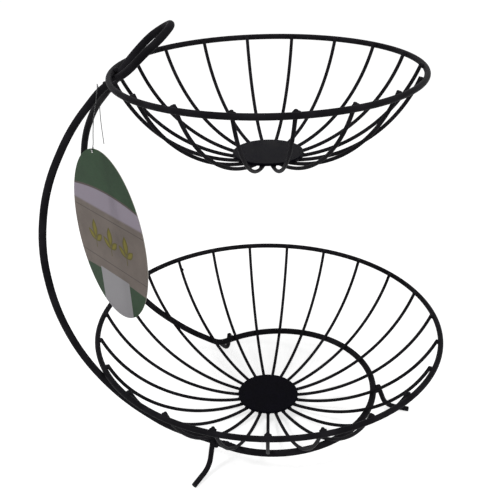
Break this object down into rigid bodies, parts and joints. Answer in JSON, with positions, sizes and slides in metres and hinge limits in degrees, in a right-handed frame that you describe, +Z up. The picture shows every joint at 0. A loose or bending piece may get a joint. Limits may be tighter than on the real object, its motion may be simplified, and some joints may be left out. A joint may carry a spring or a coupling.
{
  "type": "tiered wire basket",
  "caption": "Free-standing wire fruit basket: a small bowl carried over a larger loose bowl by one bent wire with a carrying loop, with a hanging card tag.",
  "frame": {"origin": "on the floor, under the middle of the basket's outline seen from above", "axes": "+X to the picture's right, away from the stand's strands; +Y away from the viewer; +Z up"},
  "size_m": [0.3181, 0.3046, 0.3601],
  "materials": {
    "black_wire": "black powder coat on steel wire, semi-gloss",
    "printed_card": "coated card, printed in green, mauve-grey and taupe on its front",
    "clear_string": "clear nylon line"
  },
  "bodies": {
    "stand": {"stand_wire": "black_wire", "foot_right": "black_wire", "foot_front": "black_wire", "foot_back": "black_wire", "upper_rim": "black_wire", "upper_disc": "black_wire", "upper_spoke_01": "black_wire", "upper_spoke_02": "black_wire", "upper_spoke_03": "black_wire", "upper_spoke_04": "black_wire", "upper_spoke_05": "black_wire", "upper_spoke_06": "black_wire", "upper_spoke_07": "black_wire", "upper_spoke_08": "black_wire", "upper_spoke_09": "black_wire", "upper_spoke_10": "black_wire", "upper_spoke_11": "black_wire", "upper_spoke_12": "black_wire", "upper_spoke_13": "black_wire", "upper_spoke_14": "black_wire", "upper_spoke_15": "black_wire", "upper_spoke_16": "black_wire", "upper_spoke_17": "black_wire", "upper_spoke_18": "black_wire", "tag_string": "clear_string"},
    "lower_bowl": {"lower_rim": "black_wire", "lower_disc": "black_wire", "lower_spoke_01": "black_wire", "lower_spoke_02": "black_wire", "lower_spoke_03": "black_wire", "lower_spoke_04": "black_wire", "lower_spoke_05": "black_wire", "lower_spoke_06": "black_wire", "lower_spoke_07": "black_wire", "lower_spoke_08": "black_wire", "lower_spoke_09": "black_wire", "lower_spoke_10": "black_wire", "lower_spoke_11": "black_wire", "lower_spoke_12": "black_wire", "lower_spoke_13": "black_wire", "lower_spoke_14": "black_wire", "lower_spoke_15": "black_wire", "lower_spoke_16": "black_wire", "lower_spoke_17": "black_wire", "lower_spoke_18": "black_wire", "lower_spoke_19": "black_wire", "lower_spoke_20": "black_wire", "lower_spoke_21": "black_wire", "lower_spoke_22": "black_wire", "lower_spoke_23": "black_wire"},
    "tag": {"hang_tag": "printed_card"}
  },
  "joints": [
    {"name": "lower_bowl_lift", "type": "slide", "parent": "stand", "child": "lower_bowl", "axis": [0.0436, 0, 0.999], "range_m": [0, 0.012]},
    {"name": "tag_swing", "type": "hinge", "parent": "stand", "child": "tag", "pos_m": [-0.12374, -0.009, 0.2657], "axis": [-0.7278, -0.6858, 0], "range_deg": [-12, 8]}
  ]
}
